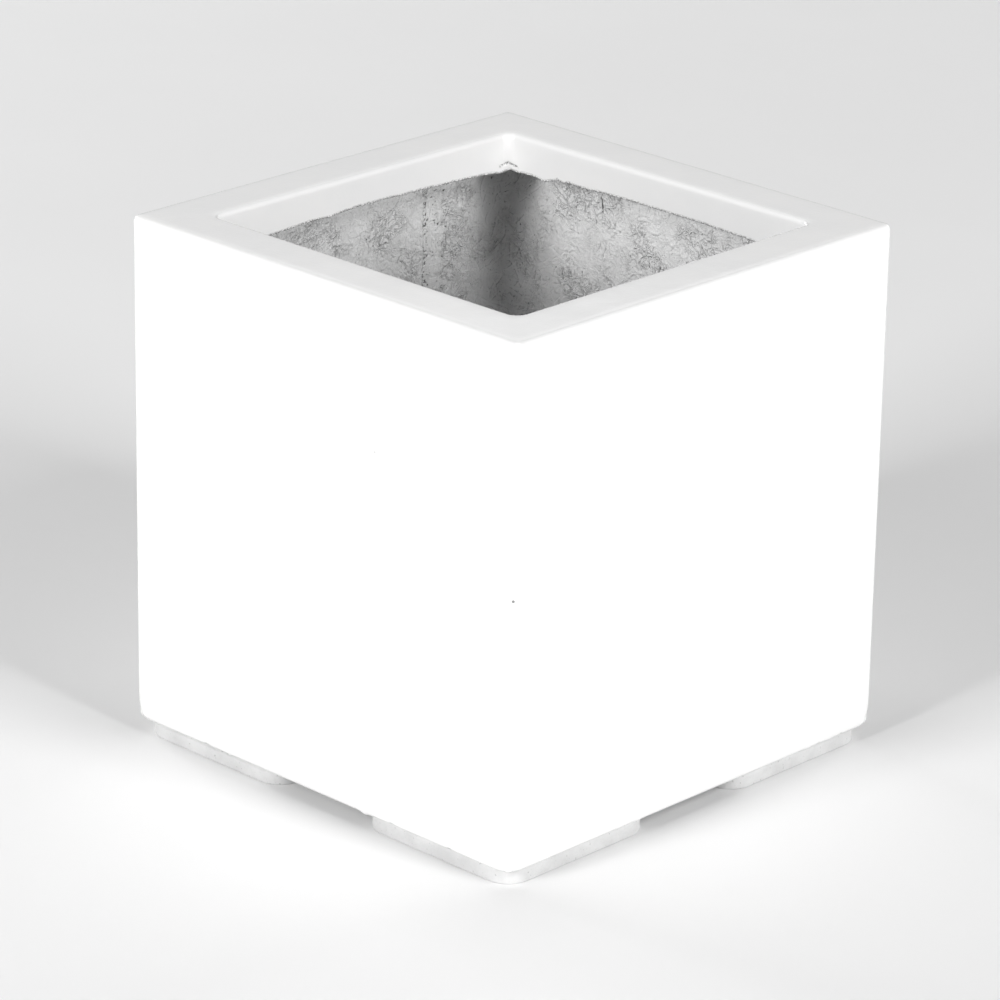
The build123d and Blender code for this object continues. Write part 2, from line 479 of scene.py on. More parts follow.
def arc_points(centre_inset, centre_z, radius, start, end, count):
    """Inset and z round an arc in section; 0 degrees points outwards and 90 up."""
    t = np.radians(np.linspace(start, end, count))
    return np.column_stack([centre_inset - radius * np.cos(t), centre_z + radius * np.sin(t)])


def roll_points(radius, start, end, count):
    """The same round the edge between rim and lip, where 0 degrees points to the mouth."""
    middle = RIM_WIDTH - ROLL_RADIUS
    arc = arc_points(middle, TOP - ROLL_RADIUS, radius, start, end, count)
    return np.column_stack([2 * middle - arc[:, 0], arc[:, 1]])


def upright_radius(inset, z):
    return max(UPRIGHT_RADIUS - inset, 0.25)


def soft_radius(inset, z):
    near_bottom = np.clip(1 - (z - SKIN_BOTTOM) / SOFT_CORNER_HEIGHT, 0, 1)
    return UPRIGHT_RADIUS + (LOWER_CORNER_RADIUS - UPRIGHT_RADIUS) * near_bottom**2


def return_radius(inset, z):
    return RETURN_RADIUS + BOTTOM_RETURN - inset


def rim_radius(inset, z):
    across = (inset - TOP_RADIUS) / (RIM_WIDTH - ROLL_RADIUS - TOP_RADIUS)
    return 1.0 + (MOUTH_RADIUS + ROLL_RADIUS - 1.0) * across


def mouth_radius(inset, z):
    return MOUTH_RADIUS + RIM_WIDTH - inset


def skin_profile():
    """The skin's section, a closed loop of (inset, z, plan radius), and each part's first row."""
    bottom, lower, upper = SKIN_BOTTOM, SKIN_BOTTOM + LOWER_RADIUS, TOP - TOP_RADIUS
    soft_top = SKIN_BOTTOM + SOFT_CORNER_HEIGHT
    lip_top, lip_bottom = TOP - ROLL_RADIUS, TOP - LIP_DEPTH
    lip_share = np.linspace(0, 1, 23)[1:] ** 0.7
    lip_levels = lip_top - lip_share * (lip_top - lip_bottom)
    lip_back_levels = np.linspace(lip_bottom, lip_top, 7)[:-1]
    upper_back = arc_points(TOP_RADIUS, upper, TOP_RADIUS - SKIN, 90, 0, 4)
    lower_back = arc_points(LOWER_RADIUS, lower, LOWER_RADIUS - SKIN, 0, -90, 4)
    straight = lambda inset, levels: [(inset, z) for z in levels]
    flat = np.linspace(TOP_RADIUS, RIM_WIDTH - ROLL_RADIUS, 8)[1:-1]
    parts = [
        ("return", [(BOTTOM_RETURN, bottom), (8.0, bottom)], return_radius),
        ("lower edge", arc_points(LOWER_RADIUS, lower, LOWER_RADIUS, -90, 0, 12), soft_radius),
        ("wall foot", straight(0.0, np.linspace(lower, soft_top, 6)[1:]), soft_radius),
        ("wall", straight(0.0, np.linspace(soft_top, upper, 12)[1:-1]), upright_radius),
        ("upper edge", arc_points(TOP_RADIUS, upper, TOP_RADIUS, 0, 90, 8), upright_radius),
        ("rim", [(inset, TOP) for inset in flat], rim_radius),
        ("roll", roll_points(ROLL_RADIUS, 90, 0, 10), mouth_radius),
        ("lip", straight(RIM_WIDTH, lip_levels), mouth_radius),
        ("lip back", straight(RIM_WIDTH - SKIN, lip_back_levels), mouth_radius),
        ("roll back", roll_points(ROLL_RADIUS - SKIN, 0, 90, 4), mouth_radius),
        ("rim back", [(20.0, TOP - SKIN)], lambda inset, z: 6.0),
        ("upper edge back", upper_back, upright_radius),
        ("wall back", straight(SKIN, np.linspace(upper, lower, 4)[1:-1]), upright_radius),
        ("lower edge back", lower_back, upright_radius),
        ("return back", [(BOTTOM_RETURN, bottom + SKIN)], lambda inset, z: RETURN_RADIUS),
    ]
    profile, first = [], {}
    for part, points, plan_radius in parts:
        first[part] = len(profile)
        profile.extend((inset, z, plan_radius(inset, z)) for inset, z in points)
    return profile, first


def lip_drop(side, a):
    """How far the torn lower edge of the lip hangs below the rim, along one side."""
    reach = np.abs(a) / (HALF[0] - RIM_WIDTH)
    drop = LIP_DROP + LIP_SAG * reach**2 - LIP_CORNER_LIFT * step(0.93, 1.0, reach)
    p = np.stack([a + 900.0 * side, np.zeros_like(a), np.zeros_like(a)], -1)
    frayed = noise(p, 3.1, 9) * step(-0.1, 0.6, noise(p, 30.0, 11))
    drop = drop + 0.55 * layers(p, 26.0, 5, 3) + 0.45 * frayed
    for where, width, depth in LIP_NICKS[SIDES[side]]:
        drop = drop + depth * np.exp(-(((a - where) / width) ** 2))
    return drop


def tear_lip(z, a):
    """A row of the lip stretched down to the torn edge: its levels, and how torn each point is; the
    same value paints shade along the lip's lower edge.
    """
    lip_top = TOP - ROLL_RADIUS
    drop = np.concatenate([lip_drop(s, a[SKIN_SIDE == s]) for s in range(4)])
    share = (lip_top - z) / (LIP_DEPTH - ROLL_RADIUS)
    level = lip_top - share * (drop - ROLL_RADIUS)
    return level, step(2.4, 0.3, level - (TOP - drop))


def lip_crack(xy, level):
    """How deep each point of a lip row is in the crack, from 0 to 1."""
    past_corner = np.abs(xy[:, 0] + xy[:, 1]) / math.sqrt(2)
    wander = 0.4 * noise(np.column_stack([xy, level]), 2.5, 3)
    drop = CRACK_DROP + CRACK_SLOPE * past_corner + wander
    crack = step(1.1, 0.2, np.abs(TOP - level - drop))
    crack = crack * step(CRACK_REACH + 2, CRACK_REACH, past_corner)
    return crack * (xy[:, 0] < 0) * (xy[:, 1] > 0)


def nick_edge(z, a, level, torn):
    """A row of the lower edge with its chips and drips."""
    for side in range(4):
        for where, width, drop, dark in EDGE_NICKS[SIDES[side]]:
            near = (SKIN_SIDE == side) * np.exp(-(((a - where) / width) ** 2))
            near = near * (1 - (z - SKIN_BOTTOM) / LOWER_RADIUS)
            level = level - drop * near
            torn = np.maximum(torn, dark * step(0.25, 0.8, near))
    return level, torn


def build_skin():
    """One closed shell, a little wavy, torn at the lip and nicked at the lower edge."""
    profile, first = skin_profile()
    rows, normals, torn_and_shade_rows = [], [], []
    for index, (inset, z, radius) in enumerate(profile):
        xy, normal, a = ring_row(inset, radius, SKIN_COLUMNS)
        level, torn = np.full(len(xy), z), np.zeros(len(xy))
        if first["lip"] <= index < first["roll back"]:
            level, torn = tear_lip(z, a)
        if first["lip"] <= index < first["lip back"]:
            crack = lip_crack(xy, level)
            xy = xy + normal * (CRACK_DEPTH * crack)[:, None]
            torn = np.maximum(torn, 1.3 * crack)
        if index < first["wall foot"]:
            level, torn = nick_edge(z, a, level, torn)
        rows.append(np.column_stack([xy, level]))
        normals.append(normal * (inset in (0.0, RIM_WIDTH)))
        torn_and_shade_rows.append(torn)
    points = np.concatenate(rows)
    wave = 0.05 * layers(points, 95.0, 31, 2)
    points[:, :2] -= np.concatenate(normals) * np.abs(wave)[:, None]
    quads = grid_faces(len(profile), len(rows[0]), True, True, flip=True)
    make_piece(
        "skin", points, quads, [], gelcoat, "planter", ["gelcoat_skin"],
        {"torn": np.concatenate(torn_and_shade_rows)})


build_skin()


# ---- raw laminate relief ----
UNDULATION = 0.7  # height of the slow waves
CRUMPLE = 0.6  # height of the crumples
WRINKLE_AREA = 45.0  # square millimetres to each wrinkle
FINE_CREASE_AREA = 45.0
PIT_AREA = 130.0


def crease(height, u, v, path, width, amount):
    """Adds a soft ridge (or groove) along a path of points on a relief, fading out at both ends."""
    path = np.asarray(path, float)
    margin = 3 * width
    i0, i1 = np.searchsorted(u, [path[:, 0].min() - margin, path[:, 0].max() + margin])
    j0, j1 = np.searchsorted(v, [path[:, 1].min() - margin, path[:, 1].max() + margin])
    if i1 <= i0 or j1 <= j0:
        return
    uu, vv = np.meshgrid(u[i0:i1], v[j0:j1])
    nearest, where = np.full(uu.shape, 1e9), np.zeros(uu.shape)
    legs = len(path) - 1
    for k in range(legs):
        (u0, v0), (du, dv) = path[k], path[k + 1] - path[k]
        t = np.clip(((uu - u0) * du + (vv - v0) * dv) / (du * du + dv * dv + 1e-9), 0, 1)
        away2 = (uu - u0 - t * du) ** 2 + (vv - v0 - t * dv) ** 2
        closer = away2 < nearest
        nearest = np.where(closer, away2, nearest)
        where = np.where(closer, (k + t) / legs, where)
    taper = np.sin(np.pi * np.clip(where, 0.04, 0.96)) ** 0.7
    height[j0:j1, i0:i1] += amount * taper * np.exp(-nearest / (width * width))


def bend_path(start, end, bow):
    """Five points from start to end that bow to one side by bow times the length."""
    start, end = np.asarray(start, float), np.asarray(end, float)
    t = np.linspace(0, 1, 5)[:, None]
    across = np.array([start[1] - end[1], end[0] - start[0]])
    return start + t * (end - start) + 4 * t * (1 - t) * bow * across


def wrinkle(height, u, v, start, end, bow, width, amount):
    """A fold of resin-wet mat: a ridge with a groove beside it."""
    path = bend_path(start, end, bow)
    way = path[-1] - path[0]
    beside = np.array([way[1], -way[0]]) / (np.linalg.norm(way) + 1e-9) * 1.5 * width
    crease(height, u, v, path, width, amount)
    crease(height, u, v, path + beside, 0.8 * width, -0.9 * amount)


def star(height, u, v, rng, centre, size, rays):
    """Wrinkles that run out from one place, where the mat was pressed in."""
    for k in range(rays):
        turn = 2 * np.pi * (k + rng.uniform(-0.35, 0.35)) / rays
        ray = np.array([math.cos(turn), math.sin(turn)]) * size * rng.uniform(0.4, 1.0)
        start = np.array(centre) + 0.12 * ray + rng.normal(0, 1.0, 2)
        end = np.array(centre) + ray
        bow, width, amount = rng.normal(0, 0.12), rng.uniform(0.5, 0.85), rng.uniform(0.6, 1.1)
        wrinkle(height, u, v, start, end, bow, width, amount)


def crumpled(points):
    """The broad shape of raw laminate: slow waves, and sharp crests in patches."""
    waves = UNDULATION * layers(points, 46.0, 3, 3)
    warp = np.stack([noise(points, 15.0, seed) for seed in (41, 43, 47)], -1)
    crests = 1 - np.abs(noise(points + 8.0 * warp, 10.0, 53))
    patch = step(-0.3, 0.5, noise(points, 37.0, 59))
    fine = 0.09 * noise(points + 4.0 * warp, 4.5, 61)
    return waves + CRUMPLE * patch * (crests**5 - 0.25) + fine


def relief(points, u, v, seed, stars=(), folds=(), chips=()):
    """Height of raw laminate above its plane, and how much painted shade each point gets: positive
    in crevices and pits, negative (painted highlight) on ridges.
    """
    rng = np.random.default_rng(seed)
    low, high = np.array([u[0], v[0]]), np.array([u[-1], v[-1]])
    area = np.prod(high - low)

    def way(long):
        turn = rng.uniform(0, 2 * np.pi)
        return np.array([math.cos(turn), math.sin(turn)]) * long

    grain, dark = np.zeros(points.shape[:2]), np.zeros(points.shape[:2])
    for _ in range(int(area / WRINKLE_AREA)):
        start = rng.uniform(low, high)
        end = start + way(rng.uniform(6, 24))
        bow, width = rng.normal(0, 0.14), rng.uniform(0.42, 0.85)
        amount = rng.uniform(0.12, 0.62) ** 1.2
        wrinkle(grain, u, v, start, end, bow, width, amount)
    for _ in range(int(area / FINE_CREASE_AREA)):
        start = rng.uniform(low, high)
        path = bend_path(start, start + way(rng.uniform(4, 18)), rng.normal(0, 0.1))
        crease(grain, u, v, path, 0.42, rng.uniform(-0.16, 0.2))
    for centre, size, rays in stars:
        star(grain, u, v, rng, centre, size, rays)
    for start, end, bow, width, amount in folds:
        wrinkle(grain, u, v, start, end, bow, width, amount)
    for _ in range(int(area / PIT_AREA)):
        start = rng.uniform(low, high)
        path = [start, start + way(rng.uniform(0.1, 1.4))]
        crease(dark, u, v, path, rng.uniform(0.32, 0.62), rng.uniform(0.2, 1.0))
    for start, end, width, amount in chips:
        crease(dark, u, v, bend_path(start, end, 0.05), width, amount)
    height = crumpled(points) + grain - 0.5 * np.clip(dark, 0, 1.2)
    # the second value is painted shade for pits, chips and grooves, and negative for painted
    # highlight on ridges
    return height, np.clip(dark, 0, 1) - np.clip(grain * 1.8, -0.35, 1.0)


def laminate_sheet(name, front, normals, back, u, v, seed, node, **features):
    """One laid-up piece with a rough front and a plain back."""
    height, dark = relief(front, u, v, seed, **features)
    points, quads, ends = sheet_solid(front + normals * height[..., None], back)
    shade_and_highlight = np.zeros(len(points))
    shade_and_highlight[: dark.size] = dark.ravel()
    return make_piece(
        name, points, quads, ends, laminate, "planter", [node], {"shade_and_highlight": shade_and_highlight})


def upright_grid(side, insets, radius, columns, levels):
    """A grid on an upright face seen from inside: points, inward normals, place along it."""
    rows = []
    for inset, z in zip(insets, levels):
        xy, normal, a = side_row(side, inset, radius, columns)
        rows.append(np.column_stack([xy, np.full(len(xy), z)])[::-1])
    normals = np.tile(np.column_stack([-normal, np.zeros(len(xy))])[::-1], (len(levels), 1, 1))
    return np.array(rows), normals, -a[::-1]


def behind_skin(levels, limit):
    """Inset of the skin's inner face at each level."""
    low = np.clip(SKIN_BOTTOM + LOWER_RADIUS - levels, 0, LOWER_RADIUS - SKIN)
    high = np.clip(levels - (TOP - TOP_RADIUS), 0, TOP_RADIUS - SKIN)
    inset = LOWER_RADIUS - np.sqrt((LOWER_RADIUS - SKIN) ** 2 - low**2)
    inset = np.maximum(inset, TOP_RADIUS - np.sqrt((TOP_RADIUS - SKIN) ** 2 - high**2))
    return np.minimum(inset + 0.02, limit)


FINE_FROM = TOP - 215.0  # above this level, which is seen through the mouth, the grids are fine
FINE_SHARE = 0.60  # and so are they over this share of a wall's width


def grid_levels(bottom, coarse_count):
    fine = np.linspace(FINE_FROM, WALL_TOP, 240)
    return np.concatenate([np.linspace(bottom, FINE_FROM, coarse_count), fine[1:]])


WALL_LEVELS = grid_levels(SKIN_BOTTOM + SKIN, 52)
MAT_LEVELS = grid_levels(TAPE_TOP, 42)
fine_share = np.linspace(-FINE_SHARE, FINE_SHARE, 270)
wall_columns = side_columns(np.concatenate([[-1.0, -0.8], fine_share, [0.8, 1.0]]), 4)
wall_back_columns = side_columns(np.array([-1.0, 0.0, 1.0]), 3)


def build_wall(side, seed, **features):
    """The laminate behind one wall: rough inside, close to the skin outside."""
    face = np.full(len(WALL_LEVELS), WALL_FACE)
    front, normals, u = upright_grid(side, face, WALL_CORNER_RADIUS, wall_columns, WALL_LEVELS)
    behind = behind_skin(WALL_LEVELS, WALL_FACE - 0.9)
    radius = UPRIGHT_RADIUS - SKIN
    back, _, _ = upright_grid(side, behind, radius, wall_back_columns, WALL_LEVELS)
    name, node = f"wall_{SIDES[side]}", f"wall_laminate_{SIDES[side]}"
    return laminate_sheet(name, front, normals, back, u, WALL_LEVELS, seed, node, **features)


def corner_grid(corner, inset, radius, share, wing_count, arc_count, levels):
    """A grid round an inner corner, from one wing's edge to the other's, seen from inside."""
    straight, flat = np.linspace(share, 1.0, wing_count), np.zeros(wing_count)
    arc = np.linspace(0, math.pi / 4, arc_count + 1)[1:]
    end_columns = np.concatenate([straight, np.ones(arc_count)]), np.concatenate([flat, arc])
    begin_share = np.concatenate([-np.ones(arc_count - 1), -straight[::-1]])
    begin_columns = begin_share, np.concatenate([-arc[:-1][::-1], flat])
    end = side_row(corner, inset, radius, end_columns)
    begin = side_row((corner + 1) % 4, inset, radius, begin_columns)
    xy = np.concatenate([end[0], begin[0]])[::-1]
    normal = np.concatenate([end[1], begin[1]])[::-1]
    along = np.concatenate([[0], np.cumsum(np.linalg.norm(np.diff(xy, axis=0), axis=1))])
    points = np.stack([np.column_stack([xy, np.full(len(xy), z)]) for z in levels])
    normals = np.tile(np.column_stack([-normal, np.zeros(len(xy))]), (len(levels), 1, 1))
    return points, normals, along


MAT_BURIED = 0.8  # the back of a mat lies this far inside the wall, behind the wall's own relief


def wing_share(inset, radius):
    return (HALF[0] - WALL_FACE - CORNER_WING) / (HALF[0] - inset - radius)


def wandering_ends(front, u, corner):
    """The two hand-cut upright edges of a corner mat."""
    along = np.zeros((len(MAT_LEVELS), 3))
    along[:, 0], along[:, 2] = 500.0 * corner, MAT_LEVELS
    for end in (0, -1):
        wander = 2.0 * layers(along + 70 * end, 19.0, 71, 3) + 0.9 * noise(along, 3.2, 73 + end)
        fade = np.clip(1 - np.abs(u - u[end]) / 26.0, 0, 1) ** 2
        inwards = front[:, 1 if end == 0 else -2] - front[:, end]
        inwards = inwards / np.linalg.norm(inwards, axis=1)[:, None]
        front = front + (wander[:, None] * fade[None, :])[..., None] * inwards[:, None, :]
    return front


def seam_chips(u, seed, counts):
    """Pits crowded at a corner mat's upright edges."""
    rng = np.random.default_rng(seed + 7)
    chips = []
    for end, count in enumerate(counts):
        for _ in range(count):
            at = np.array([u[0] if end == 0 else u[-1], rng.uniform(TOP - 160, TOP - 42)])
            away = rng.normal(0.8, 1.2) + (rng.random() < 0.45) * rng.uniform(0, 26)
            at[0] += away if end == 0 else -away
            to = at + rng.uniform(-1.5, 1.5, 2)
            chips.append((at, to, rng.uniform(0.35, 0.65), rng.uniform(0.4, 1.1)))
    return chips


def build_corner_mat(corner, seed, seam_pits=(0, 0), end_step=(-0.35, -0.35), **features):
    """A mat round an upright inner corner; each end stands end_step off the wall."""
    share = wing_share(MAT_FACE, MAT_CORNER_RADIUS)
    front, normals, u = corner_grid(corner, MAT_FACE, MAT_CORNER_RADIUS, share, 92, 16, MAT_LEVELS)
    behind = WALL_FACE - MAT_BURIED
    share = wing_share(behind, WALL_CORNER_RADIUS)
    back, _, _ = corner_grid(corner, behind, WALL_CORNER_RADIUS, share, 2, 6, MAT_LEVELS)
    sink = (CORNER_MAT - end_step[0]) * step(6.0, 0.0, u - u[0])
    sink = sink + (CORNER_MAT - end_step[1]) * step(6.0, 0.0, u[-1] - u)
    front = wandering_ends(front - normals * sink[None, :, None], u, corner)
    name, node = f"mat_{CORNERS[corner]}", f"corner_mat_{CORNERS[corner]}"
    return laminate_sheet(
        name, front, normals, back, u, MAT_LEVELS, seed, node,
        chips=seam_chips(u, seed, seam_pits), **features)


def tape_section():
    """The tape's face and back, from the wall to the floor."""
    face, edge = FLOOR_TOP + CORNER_MAT, WALL_FACE + TAPE_WIDTH
    upright = [(MAT_FACE, z) for z in np.linspace(TAPE_TOP, face + TAPE_FILLET, 10)]
    fillet = arc_points(MAT_FACE + TAPE_FILLET, face + TAPE_FILLET, TAPE_FILLET, 0, -90, 13)[1:]
    flat = [(inset, face) for inset in np.linspace(MAT_FACE + TAPE_FILLET, edge, 14)[1:]]
    front = np.concatenate([upright, fillet, flat])
    half = len(front) // 2
    under, behind = FLOOR_TOP - MAT_BURIED, WALL_FACE - MAT_BURIED
    down = [(behind, z) for z in np.linspace(TAPE_TOP, under, half)]
    across = [(inset, under) for inset in np.linspace(behind, edge, len(front) - half + 1)[1:]]
    return front, np.concatenate([down, across])


def ragged_edges(front, along):
    """Frays the tape's two edges."""
    ragged = 1.5 * layers(front[0] + 300.0, 21.0, 83, 3) + 0.7 * noise(front[0], 3.5, 89)
    fade = np.clip(1 - along / 14.0, 0, 1) ** 2
    front[..., 2] -= np.abs(ragged)[None, :] * fade[:, None]
    ragged = 2.0 * layers(front[-1], 23.0, 97, 3) + 0.8 * noise(front[-1], 3.5, 99)
    fade = np.clip(1 - (along[-1] - along) / 16.0, 0, 1) ** 2
    outwards = front[0] - front[-1]
    outwards = outwards / np.linalg.norm(outwards, axis=1)[:, None]
    outwards[:, 2] = 0
    return front + (np.abs(ragged)[None, :] * fade[:, None])[..., None] * outwards[None, :, :]


def build_tape(side, seed):
    """Tape from the wall round a resin fillet on to the floor."""
    section, back_section = tape_section()
    turn = np.gradient(section, axis=0)
    turn = turn / np.linalg.norm(turn, axis=1)[:, None]
    columns = side_columns(np.linspace(-1, 1, 230), 8)
    rows, normals, backs = [], [], []
    for (inset, z), (d_inset, d_z), (back_inset, back_z) in zip(section, turn, back_section):
        radius = max(MAT_CORNER_RADIUS - 0.3 * (inset - MAT_FACE), 4.0)
        xy, normal, a = side_row(side, inset, radius, columns)
        rows.append(np.column_stack([xy, np.full(len(xy), z)]))
        normals.append(np.column_stack([normal * d_z, np.full(len(xy), d_inset)]))
        back_xy, _, _ = side_row(side, back_inset, 8.0, wall_back_columns)
        backs.append(np.column_stack([back_xy, np.full(len(back_xy), back_z)]))
    front, normals, backs = np.array(rows), np.array(normals), np.array(backs)
    along = np.concatenate([[0], np.cumsum(np.linalg.norm(np.diff(section, axis=0), axis=1))])
    front = ragged_edges(front, along)
    thin = step(0.0, 3.0, np.minimum(along, along[-1] - along))
    front = front - normals * ((CORNER_MAT - 0.4) * (1 - thin))[:, None, None]
    u = np.maximum.accumulate(a + 1e-6 * np.arange(len(a)))
    name, node = f"tape_{SIDES[side]}", f"base_tape_{SIDES[side]}"
    return laminate_sheet(name, front, normals, backs, u, along, seed, node)


# ---- floor panel ----
def build_floor_panel():
    """Raw laminate floor with the drain hole; its underside shows between the foot pads."""
    columns = side_columns(np.linspace(-1, 1, 190), 6)
    count = 4 * (len(columns[0]) - 1)
    edge_xy, _, _ = ring_row(WALL_FACE, WALL_CORNER_RADIUS, columns)
    turn = np.arctan2(edge_xy[:, 1], edge_xy[:, 0])
    circle = np.column_stack([np.cos(turn), np.sin(turn)]) * DRAIN_RADIUS

    def ring(share, inset, radius, z, rough):
        xy, _, _ = ring_row(inset, radius, columns)
        return np.column_stack([circle + share * (xy - circle), np.full(count, z)]), rough

    spread = np.linspace(0, 1, 58) ** 1.1
    rim_to_rim = step(0.0, 0.03, spread) * step(1.0, 0.985, spread)
    outer, inner = (WALL_FACE, WALL_CORNER_RADIUS), (BOTTOM_RETURN, RETURN_RADIUS)
    top = [ring(t, *outer, FLOOR_TOP, rough) for t, rough in zip(spread, rim_to_rim)]
    skin_rest = SKIN_BOTTOM + SKIN
    edge = [ring(1, *outer, skin_rest, 0.0), ring(1, *inner, skin_rest, 0.0)]
    under = [ring(t, *inner, SKIN_BOTTOM, -rough) for t, rough in zip(spread, rim_to_rim)][::-1]
    rings = top + edge + under
    points = np.array([r[0] for r in rings])
    rough = np.array([np.full(count, float(r[1])) for r in rings])
    height = 0.5 * layers(points, 44.0, 3, 3) + 0.35 * (1 - np.abs(noise(points, 15.0, 53))) ** 4
    height = height + 0.15 * noise(points, 7.0, 61)
    under_height = np.minimum(height, 0.0) - 0.05
    points[..., 2] += np.where(rough > 0, rough * height, -rough * -under_height)
    quads = grid_faces(len(rings), count, True, True)
    return make_piece(
        "floor_panel", points.reshape(-1, 3), quads, [], laminate, "planter",
        ["base_panel"])


# ---- foot pads ----
GLUE_GAP_DEPTH = 3.0  # how far the glue line is set back above a pad
GLUE_GAPS = (0.15, 0.2, 0.6, 1.0)  # how open it is at each corner's pad


def rounded_outline(half, radius):
    """Points and outward normals round a rounded rectangle about the origin."""
    quarter = np.radians(np.linspace(0, 90, 15))
    corners = np.array([[1, 1], [-1, 1], [-1, -1], [1, -1]]) * (half - radius)
    outline = []
    for k in range(4):
        t = quarter + k * math.pi / 2
        arc = corners[k] + radius * np.column_stack([np.cos(t), np.sin(t)])
        next_start = corners[(k + 1) % 4] + radius * np.array([np.cos(t[-1]), np.sin(t[-1])])
        straight = arc[-1] + np.linspace(0, 1, 62)[1:-1, None] * (next_start - arc[-1])
        outline.append(np.concatenate([arc, straight]))
    outline = np.concatenate(outline)
    way = np.roll(outline, -1, 0) - np.roll(outline, 1, 0)
    return outline, np.column_stack([way[:, 1], -way[:, 0]]) / np.linalg.norm(way, axis=1)[:, None]


def foot_rows(outline, normal, top, gap):
    """Rings from a pad's top down its side and in under it; how rough each is."""
    level = lambda z: np.full(len(outline), z)
    rows, rough = [], []
    for share in (0.02, 0.3, 0.6, 0.9):
        rows.append(np.column_stack([outline * share, level(top)]))
        rough.append(0.0)
    for z in np.linspace(top, FOOT_EDGE_RADIUS, 12):
        recess = gap * GLUE_GAP_DEPTH * step(top - 1.9, top - 1.0, z)
        rows.append(np.column_stack([outline - normal * recess, level(z)]))
        rough.append(1.0)
    for t in np.radians(np.linspace(0, 90, 6)[1:]):
        inset = FOOT_EDGE_RADIUS * (1 - math.cos(t))
        z = FOOT_EDGE_RADIUS * (1 - math.sin(t))
        rows.append(np.column_stack([outline - normal * inset, level(z)]))
        rough.append(math.cos(t))
    side_end = len(rows)
    for share in np.linspace(0.97, 0.03, 40):
        rows.append(np.column_stack([outline * share, level(0.0)]))
        rough.append(0.0)
    return np.array(rows), np.array(rough), side_end


def build_foot(corner, seed, gap):
    """A cast pad of filled resin: rounded corners, a slumped side, a ground-off underside."""
    node = f"foot_pad_{CORNERS[corner]}"
    low, high = box_mm(node)
    outline, normal = rounded_outline((high - low)[:2] / 2, FOOT_CORNER_RADIUS)
    points, rough, side_end = foot_rows(outline, normal, high[2], gap)
    points[..., :2] += (high + low)[:2] / 2
    shift = 900.0 * corner
    bumps = 0.5 * layers(points + shift, 26.0, seed, 3)
    bumps = bumps + 0.35 * noise(points + shift, 6.0, seed + 5) + 0.18 * noise(points, 2.4, 7)
    inwards = (-np.abs(bumps) - 0.1) * rough[:, None]
    points[..., :2] += normal[None] * inwards[..., None]
    lift = 0.55 * step(0.05, 0.75, noise(points + shift, 17.0, seed + 9))
    lift = lift + 0.25 * step(0.1, 0.8, noise(points, 5.0, seed + 11))
    points[side_end:, :, 2] += lift[side_end:]
    count = len(outline)
    quads = grid_faces(len(points), count, closed_columns=True)[:, ::-1]
    first = list(range(count))
    last = [(len(points) - 1) * count + c for c in range(count)]
    make_piece(
        f"foot_{CORNERS[corner]}", points.reshape(-1, 3), quads, [first, last[::-1]], foot_resin,
        "planter", [node])


# ---- drain bung ----
GRIP_FLUTES = 18


def rounded_edge(radius, top, edge):
    """Section points round the upper edge of a disc: radius and z."""
    turn = np.radians([22, 45, 68, 90])
    return [(radius - edge + edge * math.cos(t), top - edge + edge * math.sin(t)) for t in turn]


def bung_section():
    """The bung's section from the middle of its nose to the middle of its grip: radius and z."""
    nose, top, flange = bung_low[2], bung_high[2], bung_high[0]
    plug, grip = DRAIN_RADIUS - BUNG_CLEARANCE, BUNG_GRIP_RADIUS
    flange_top = FLOOR_TOP + BUNG_FLANGE_HEIGHT
    section = [(0.4, nose + 0.6), (3.0, nose + 0.6), (3.6, nose), (plug - 1.5, nose)]
    section += [(plug, nose + 1.5)]
    section += [(plug, z) for z in np.linspace(nose + 2.5, FLOOR_TOP, 5)]
    section += [(flange - 0.2, FLOOR_TOP), (flange, FLOOR_TOP + 0.3), (flange, flange_top - 1.2)]
    section += rounded_edge(flange, flange_top, 1.2)
    section += [(14.6, flange_top), (14.2, flange_top - 0.4)]  # a moulded ring
    section += [(13.4, flange_top - 0.4), (13.0, flange_top)]
    section += [(grip + 1.2, flange_top), (grip + 0.3, flange_top + 0.4)]
    section += [(grip, z) for z in np.linspace(flange_top + 1.2, top - 2.0, 8)]
    section += rounded_edge(grip, top, 2.0)
    return section + [(2.2, top), (1.6, top - 0.35), (0.4, top - 0.35)]


def build_bung():
    """A moulded plug with a flange and a fluted grip."""
    flange_top, top = FLOOR_TOP + BUNG_FLANGE_HEIGHT, bung_high[2]
    count = 144
    turn = np.linspace(0, 2 * np.pi, count, endpoint=False)
    rows = []
    for radius, z in bung_section():
        on_grip = step(flange_top + 0.8, flange_top + 1.6, z) * step(top - 1.2, top - 2.2, z)
        depth = 0.05 * on_grip * (radius <= BUNG_GRIP_RADIUS)
        fluted = radius * (1 - depth * (0.5 - 0.5 * np.cos(GRIP_FLUTES * turn)))
        x, y = fluted * np.cos(turn), fluted * np.sin(turn)
        rows.append(np.column_stack([x, y, np.full(count, z)]))
    quads = grid_faces(len(rows), count, closed_columns=True)
    first = list(range(count))
    last = [(len(rows) - 1) * count + c for c in range(count)]
    return make_piece(
        "bung", np.concatenate(rows), quads, [first[::-1], last], bung_rubber, "bung",
        ["drain_bung"])


